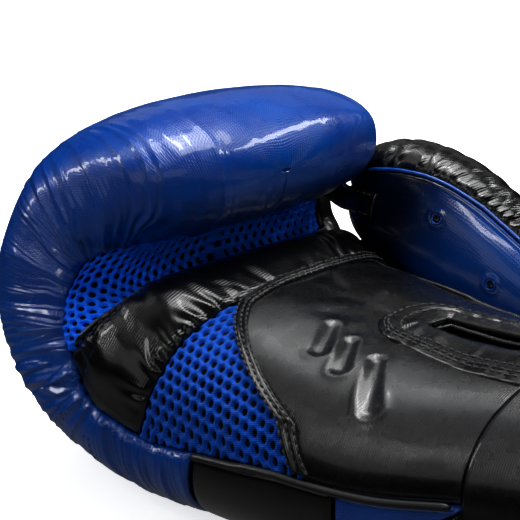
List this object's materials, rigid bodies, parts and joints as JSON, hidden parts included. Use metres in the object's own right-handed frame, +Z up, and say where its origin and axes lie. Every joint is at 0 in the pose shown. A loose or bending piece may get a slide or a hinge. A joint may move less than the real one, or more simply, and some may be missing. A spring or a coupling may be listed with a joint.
{
  "type": "boxing glove",
  "caption": "Right-hand boxing glove lying palm up: padded curled fist, attached thumb, mesh vents, slit palm and wraparound hook-and-loop wrist strap.",
  "frame": {"origin": "middle of the glove on the surface it lies on", "axes": "+X from the fist to the wrist opening, +Y from the little finger to the thumb, +Z up out of the palm"},
  "size_m": [0.2758, 0.1574, 0.1282],
  "materials": {
    "blue_cover": "glossy coated synthetic leather with a fine woven emboss",
    "black_cover": "glossy coated synthetic leather, gathered at the seams",
    "palm_leather": "patent-look coated synthetic leather with a fine rib emboss",
    "vent_mesh": "three-dimensional air mesh with open round cells",
    "dense_foam": "closed-cell foam",
    "soft_foam": "soft open-cell foam",
    "lining": "smooth woven polyester lining",
    "eyelets": "stitched rim of a punched vent",
    "elastic": "ribbed elastic webbing",
    "binding": "woven binding tape",
    "seam_piping": "rolled piping",
    "strap_cover": "glossy coated synthetic leather",
    "hook_tape": "hook tape",
    "loop_tape": "loop pile tape"
  },
  "bodies": {
    "glove": {"knuckle_cover": "blue_cover", "back_panel": "black_cover", "back_stripe": "blue_cover", "cuff_cover": "black_cover", "palm_panel": "palm_leather", "side_vent_mesh": "vent_mesh", "finger_vent_mesh": "vent_mesh", "grip_cover": "black_cover", "knuckle_foam_outer": "dense_foam", "knuckle_foam_inner": "soft_foam", "curl_foam": "dense_foam", "back_foam": "dense_foam", "palm_foam": "soft_foam", "cuff_foam": "soft_foam", "grip_roll": "soft_foam", "back_lining": "lining", "palm_lining": "lining", "finger_lining": "lining", "cuff_lining": "lining", "thumb_cover": "black_cover", "thumb_panel": "blue_cover", "thumb_foam": "dense_foam", "thumb_panel_foam": "soft_foam", "thumb_lining": "lining", "thumb_vents": "eyelets", "thumb_tether": "black_cover", "thumb_gusset": "black_cover", "slit_facing": "palm_leather", "slit_elastic": "elastic", "cuff_binding": "binding", "side_piping": "seam_piping", "thumb_side_piping": "seam_piping", "grip_piping": "seam_piping", "palm_welt": "palm_leather", "thumb_piping": "seam_piping", "strap_anchor": "strap_cover", "strap_loop_patch": "loop_tape"},
    "strap": {"strap_bridge": "strap_cover"},
    "strap_end": {"strap_tail": "strap_cover", "strap_hook_patch": "hook_tape", "strap_end_tab": "binding"}
  },
  "joints": [
    {"name": "strap_lift", "type": "hinge", "parent": "glove", "child": "strap", "pos_m": [0.1095, -0.0342, 0.0785], "axis": [0.9933, 0.0541, 0.1026], "range_deg": [0, 85]},
    {"name": "strap_peel", "type": "hinge", "parent": "strap", "child": "strap_end", "pos_m": [0.1096, 0.03865, 0.0318], "axis": [0.99, -0.0834, 0.114], "range_deg": [0, 85]}
  ],
  "couplings": [
    {"joint": "strap_lift", "follows": "strap_peel", "ratio": 1}
  ]
}
